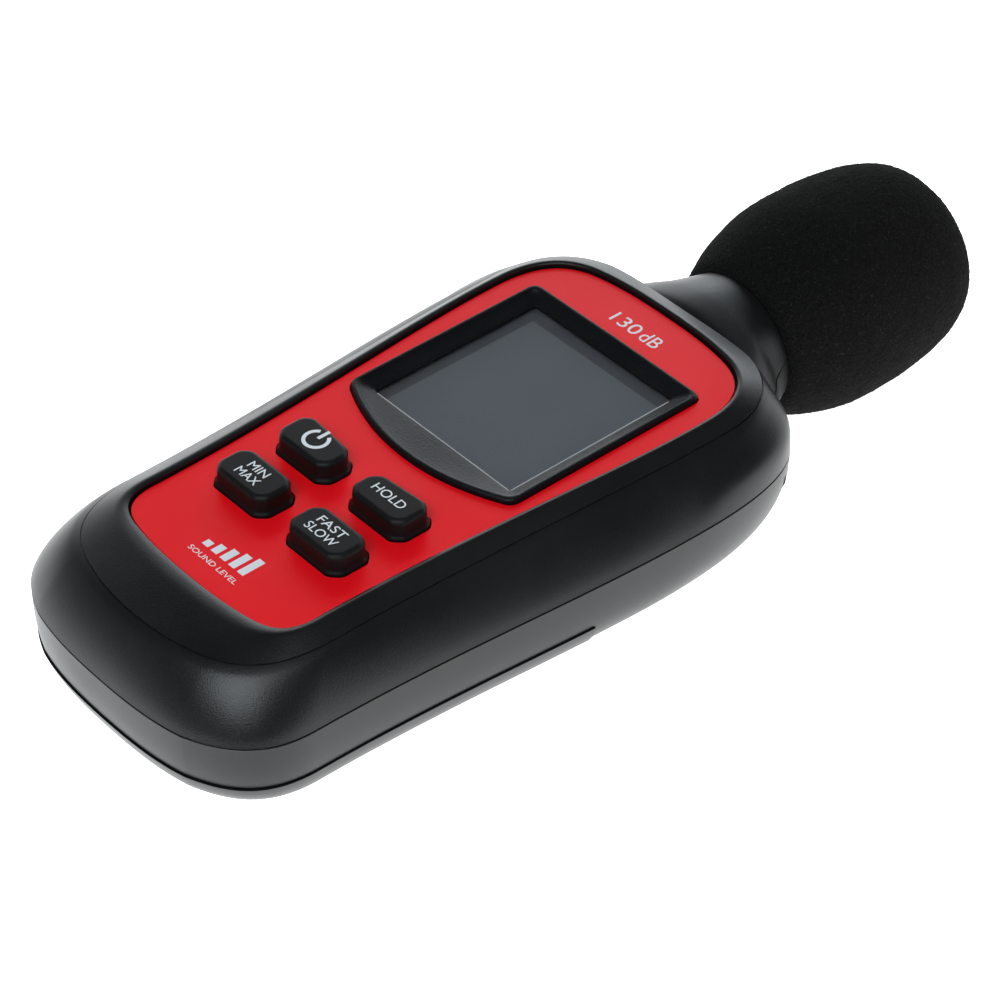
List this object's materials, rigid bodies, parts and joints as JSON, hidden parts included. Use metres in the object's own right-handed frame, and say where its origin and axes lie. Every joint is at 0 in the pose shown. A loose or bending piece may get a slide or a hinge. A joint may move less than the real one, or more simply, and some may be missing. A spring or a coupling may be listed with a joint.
{
  "type": "sound level meter",
  "caption": "Hand-held sound level meter with a display, rubber keys, a battery cover and a foam windscreen over the microphone.",
  "frame": {"origin": "on the flat back of the rear housing, under the middle of the upper body", "axes": "+X to the user's right, +Y along the body towards the microphone, +Z out of the display"},
  "size_m": [0.0602, 0.1521, 0.0326],
  "materials": {
    "housing": "fine spark-eroded grain, black",
    "housing_rear": "fine spark-eroded grain, black, a little smoother than the front",
    "panel": "satin red",
    "bezel": "satin black",
    "lens": "smoked, semi-gloss",
    "rubber": "matte silicone",
    "foam": "open-cell polyurethane foam",
    "board": "green solder mask on glass-fibre laminate",
    "chip": "moulded epoxy",
    "metal": "nickel plated",
    "gold": "gold-flashed copper",
    "carbon": "carbon-filled rubber",
    "glass": "liquid crystal glass with polariser",
    "white": "white moulding",
    "cell": "printed steel can, plain",
    "red_lead": "red insulation"
  },
  "bodies": {
    "housing": {"amplifier_chip": "chip", "backlight_holder": "white", "battery_cell_1": "cell", "battery_cell_2": "cell", "battery_cell_3": "cell", "calibration_trimmer": "white", "case_screw_1": "metal", "case_screw_2": "metal", "case_screw_3": "metal", "case_screw_4": "metal", "contact_base_1": "metal", "contact_base_2": "metal", "contact_base_3": "metal", "contact_flat_1": "metal", "contact_flat_2": "metal", "contact_flat_3": "metal", "contact_pad_fast_slow": "gold", "contact_pad_hold": "gold", "contact_pad_min_max": "gold", "contact_pad_power": "gold", "contact_spring_1": "metal", "contact_spring_2": "metal", "contact_spring_3": "metal", "display_bezel": "bezel", "display_lens": "lens", "elastomer_strip": "rubber", "front_panel": "panel", "front_shell": "housing", "keypad_mat": "rubber", "lcd_glass": "glass", "main_board": "board", "mic_capsule": "metal", "mic_gauze": "chip", "mic_lead_ground": "rubber", "mic_lead_signal": "red_lead", "mic_tube": "metal", "neck_seal": "rubber", "processor_chip": "chip", "quartz_can": "metal", "rear_shell": "housing_rear", "supply_capacitor": "metal"},
    "battery_cover": {"battery_cover": "housing_rear"},
    "windscreen": {"windscreen": "foam"},
    "key_power": {"carbon_pill_power": "carbon", "key_power": "rubber"},
    "key_hold": {"carbon_pill_hold": "carbon", "key_hold": "rubber"},
    "key_min_max": {"carbon_pill_min_max": "carbon", "key_min_max": "rubber"},
    "key_fast_slow": {"carbon_pill_fast_slow": "carbon", "key_fast_slow": "rubber"}
  },
  "joints": [
    {"name": "press_power", "type": "slide", "parent": "housing", "child": "key_power", "axis": [0, 0, -1], "range_m": [0, 0.0007], "stiffness_N_per_m": 250},
    {"name": "press_hold", "type": "slide", "parent": "housing", "child": "key_hold", "axis": [0, 0, -1], "range_m": [0, 0.0007], "stiffness_N_per_m": 250},
    {"name": "press_min_max", "type": "slide", "parent": "housing", "child": "key_min_max", "axis": [0, 0, -1], "range_m": [0, 0.0007], "stiffness_N_per_m": 250},
    {"name": "press_fast_slow", "type": "slide", "parent": "housing", "child": "key_fast_slow", "axis": [0, 0, -1], "range_m": [0, 0.0007], "stiffness_N_per_m": 250},
    {"name": "pull_windscreen", "type": "slide", "parent": "housing", "child": "windscreen", "axis": [0, 1, 0], "range_m": [0, 0.03]},
    {"name": "slide_cover", "type": "slide", "parent": "housing", "child": "battery_cover", "axis": [0, -1, 0], "range_m": [0, 0.065]}
  ]
}
